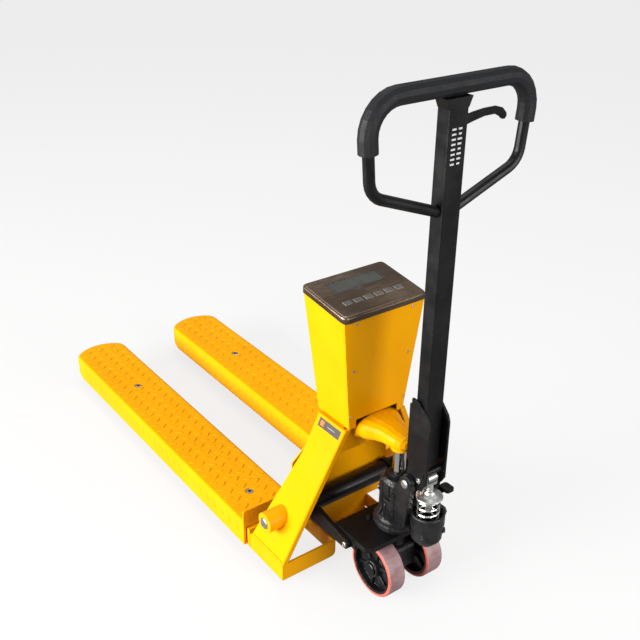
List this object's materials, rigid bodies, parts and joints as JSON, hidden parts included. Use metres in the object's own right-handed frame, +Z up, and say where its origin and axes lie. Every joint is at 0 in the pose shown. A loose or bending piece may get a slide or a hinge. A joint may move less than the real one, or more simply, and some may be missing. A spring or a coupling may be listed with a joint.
{
  "type": "weighing pallet truck",
  "caption": "Hand pallet truck with twin weighing decks, an indicator head, a hydraulic pump with steered wheels and a tiller handle that pumps and steers.",
  "frame": {"origin": "on the floor under the middle of the truck's bounding box, with the forks lowered and the tiller upright", "axes": "+Z up, -X along the forks to their tips, +X towards the operator, +Y to the right of an operator who faces the forks"},
  "size_m": [1.636, 0.57, 1.375],
  "materials": {
    "yellow_paint": "glossy golden-yellow powder coat",
    "black_paint": "satin black paint",
    "cast_black": "glossy black paint over a rough casting",
    "plain_steel": "plain machined steel",
    "zinc": "bright zinc plating",
    "chrome": "hard chrome",
    "stainless": "brushed stainless steel",
    "wheel_urethane": "dusty red-brown polyurethane with a bright red edge",
    "roller_urethane": "red-brown polyurethane",
    "grip_rubber": "soft matt black foam rubber",
    "display": "grey-green liquid-crystal window",
    "key_film": "printed membrane key",
    "battery_case": "black plastic case"
  },
  "bodies": {
    "chassis": {"base_plate": "black_paint", "thrust_ring": "black_paint"},
    "lift_frame": {"deck_left": "yellow_paint", "deck_right": "yellow_paint", "fork_frame_left": "yellow_paint", "fork_frame_right": "yellow_paint", "side_plate_left": "yellow_paint", "side_plate_right": "yellow_paint", "pivot_pin_left": "zinc", "pivot_pin_right": "zinc", "load_cell_tip_left": "plain_steel", "load_cell_tip_right": "plain_steel", "load_cell_heel_left": "plain_steel", "load_cell_heel_right": "plain_steel", "deck_bolt_tip_left": "zinc", "deck_bolt_tip_right": "zinc", "deck_bolt_heel_left": "zinc", "deck_bolt_heel_right": "zinc", "cross_box": "yellow_paint", "cross_panel": "yellow_paint", "crosshead": "yellow_paint", "ram": "chrome", "indicator_housing": "yellow_paint", "operator_panel": "yellow_paint", "bezel": "stainless", "display": "display", "battery": "battery_case"},
    "rocker": {"torsion_tube": "black_paint", "rocker_arm_left": "black_paint", "rocker_arm_right": "black_paint"},
    "pump": {"pump_casting": "cast_black", "gland_ring": "black_paint", "axle": "black_paint", "tiller_pin": "zinc", "plunger_spring": "zinc"},
    "plunger": {"plunger_rod": "zinc", "spring_cap": "zinc"},
    "plunger_wheel": {"plunger_roller": "zinc"},
    "pedal": {"release_pedal": "black_paint"},
    "tiller": {"tiller_bracket": "black_paint", "tiller_column": "black_paint", "handle_loop": "black_paint", "handle_grip": "grip_rubber"},
    "lever": {"release_lever": "black_paint"},
    "rod_left": {"push_rod_left": "black_paint"},
    "bracket_left": {"load_bracket_left": "black_paint"},
    "roller_left": {"load_roller_left": "roller_urethane"},
    "wheel_left": {"wheel_hub_left": "cast_black", "wheel_tyre_left": "wheel_urethane"},
    "rod_right": {"push_rod_right": "black_paint"},
    "bracket_right": {"load_bracket_right": "black_paint"},
    "roller_right": {"load_roller_right": "roller_urethane"},
    "wheel_right": {"wheel_hub_right": "cast_black", "wheel_tyre_right": "wheel_urethane"},
    "key_body_1": {"key_1": "key_film"},
    "key_body_2": {"key_2": "key_film"},
    "key_body_3": {"key_3": "key_film"},
    "key_body_4": {"key_4": "key_film"},
    "key_body_5": {"key_5": "key_film"},
    "key_body_6": {"key_6": "key_film"}
  },
  "joints": [
    {"name": "lift", "type": "slide", "parent": "chassis", "child": "lift_frame", "axis": [0, 0, 1], "range_m": [0, 0.085]},
    {"name": "steer", "type": "hinge", "parent": "chassis", "child": "pump", "pos_m": [0.658, 0, 0.19], "axis": [0, 0, 1], "range_deg": [-90, 90]},
    {"name": "rocker_turn", "type": "hinge", "parent": "lift_frame", "child": "rocker", "pos_m": [0.452, 0, 0.175], "axis": [0, 1, 0], "range_deg": [0, 30.3]},
    {"name": "rod_push_left", "type": "slide", "parent": "lift_frame", "child": "rod_left", "axis": [-1, 0, 0], "range_m": [0, 0.0202]},
    {"name": "bracket_turn_left", "type": "hinge", "parent": "lift_frame", "child": "bracket_left", "pos_m": [-0.528, -0.195, 0.04], "axis": [0, -1, 0], "range_deg": [0, 35]},
    {"name": "roller_spin_left", "type": "hinge", "parent": "bracket_left", "child": "roller_left", "pos_m": [-0.67797, -0.195, 0.037], "axis": [0, 1, 0], "continuous": true},
    {"name": "wheel_spin_left", "type": "hinge", "parent": "pump", "child": "wheel_left", "pos_m": [0.672, -0.065, 0.08], "axis": [0, 1, 0], "continuous": true},
    {"name": "rod_push_right", "type": "slide", "parent": "lift_frame", "child": "rod_right", "axis": [-1, 0, 0], "range_m": [0, 0.0202]},
    {"name": "bracket_turn_right", "type": "hinge", "parent": "lift_frame", "child": "bracket_right", "pos_m": [-0.528, 0.195, 0.04], "axis": [0, -1, 0], "range_deg": [0, 35]},
    {"name": "roller_spin_right", "type": "hinge", "parent": "bracket_right", "child": "roller_right", "pos_m": [-0.67797, 0.195, 0.037], "axis": [0, 1, 0], "continuous": true},
    {"name": "wheel_spin_right", "type": "hinge", "parent": "pump", "child": "wheel_right", "pos_m": [0.672, 0.065, 0.08], "axis": [0, 1, 0], "continuous": true},
    {"name": "tiller_tilt", "type": "hinge", "parent": "pump", "child": "tiller", "pos_m": [0.74, 0, 0.383], "axis": [0, 1, 0], "range_deg": [0, 70], "stiffness_Nm_per_rad": 40, "springref_deg": -17.19},
    {"name": "plunger_press", "type": "slide", "parent": "pump", "child": "plunger", "axis": [0, 0, -1], "range_m": [0, 0.0565], "deforming": ["plunger_spring"]},
    {"name": "plunger_wheel_spin", "type": "hinge", "parent": "plunger", "child": "plunger_wheel", "pos_m": [0.774, 0, 0.4], "axis": [0, 1, 0], "continuous": true},
    {"name": "pedal_press", "type": "hinge", "parent": "pump", "child": "pedal", "pos_m": [0.724, 0.0565, 0.318], "axis": [0, 1, 0], "range_deg": [0, 14], "stiffness_Nm_per_rad": 3, "springref_deg": -11.46},
    {"name": "lever_pull", "type": "hinge", "parent": "tiller", "child": "lever", "pos_m": [0.751, 0.014, 1.277], "axis": [1, 0, 0], "range_deg": [-9, 12], "stiffness_Nm_per_rad": 6},
    {"name": "key_press_1", "type": "slide", "parent": "lift_frame", "child": "key_body_1", "axis": [-0.1231, 0, -0.9924], "range_m": [0, 0.0007], "stiffness_N_per_m": 400},
    {"name": "key_press_2", "type": "slide", "parent": "lift_frame", "child": "key_body_2", "axis": [-0.1231, 0, -0.9924], "range_m": [0, 0.0007], "stiffness_N_per_m": 400},
    {"name": "key_press_3", "type": "slide", "parent": "lift_frame", "child": "key_body_3", "axis": [-0.1231, 0, -0.9924], "range_m": [0, 0.0007], "stiffness_N_per_m": 400},
    {"name": "key_press_4", "type": "slide", "parent": "lift_frame", "child": "key_body_4", "axis": [-0.1231, 0, -0.9924], "range_m": [0, 0.0007], "stiffness_N_per_m": 400},
    {"name": "key_press_5", "type": "slide", "parent": "lift_frame", "child": "key_body_5", "axis": [-0.1231, 0, -0.9924], "range_m": [0, 0.0007], "stiffness_N_per_m": 400},
    {"name": "key_press_6", "type": "slide", "parent": "lift_frame", "child": "key_body_6", "axis": [-0.1231, 0, -0.9924], "range_m": [0, 0.0007], "stiffness_N_per_m": 400}
  ],
  "couplings": [
    {"joint": "rocker_turn", "follows": "lift", "rad_per_m": 6.1608},
    {"joint": "rod_push_left", "follows": "lift", "ratio": 0.2353},
    {"joint": "bracket_turn_left", "follows": "lift", "rad_per_m": 7.1404},
    {"joint": "rod_push_right", "follows": "lift", "ratio": 0.2353},
    {"joint": "bracket_turn_right", "follows": "lift", "rad_per_m": 7.1404},
    {"joint": "plunger_press", "follows": "tiller_tilt", "m_per_rad": 0.04597}
  ]
}
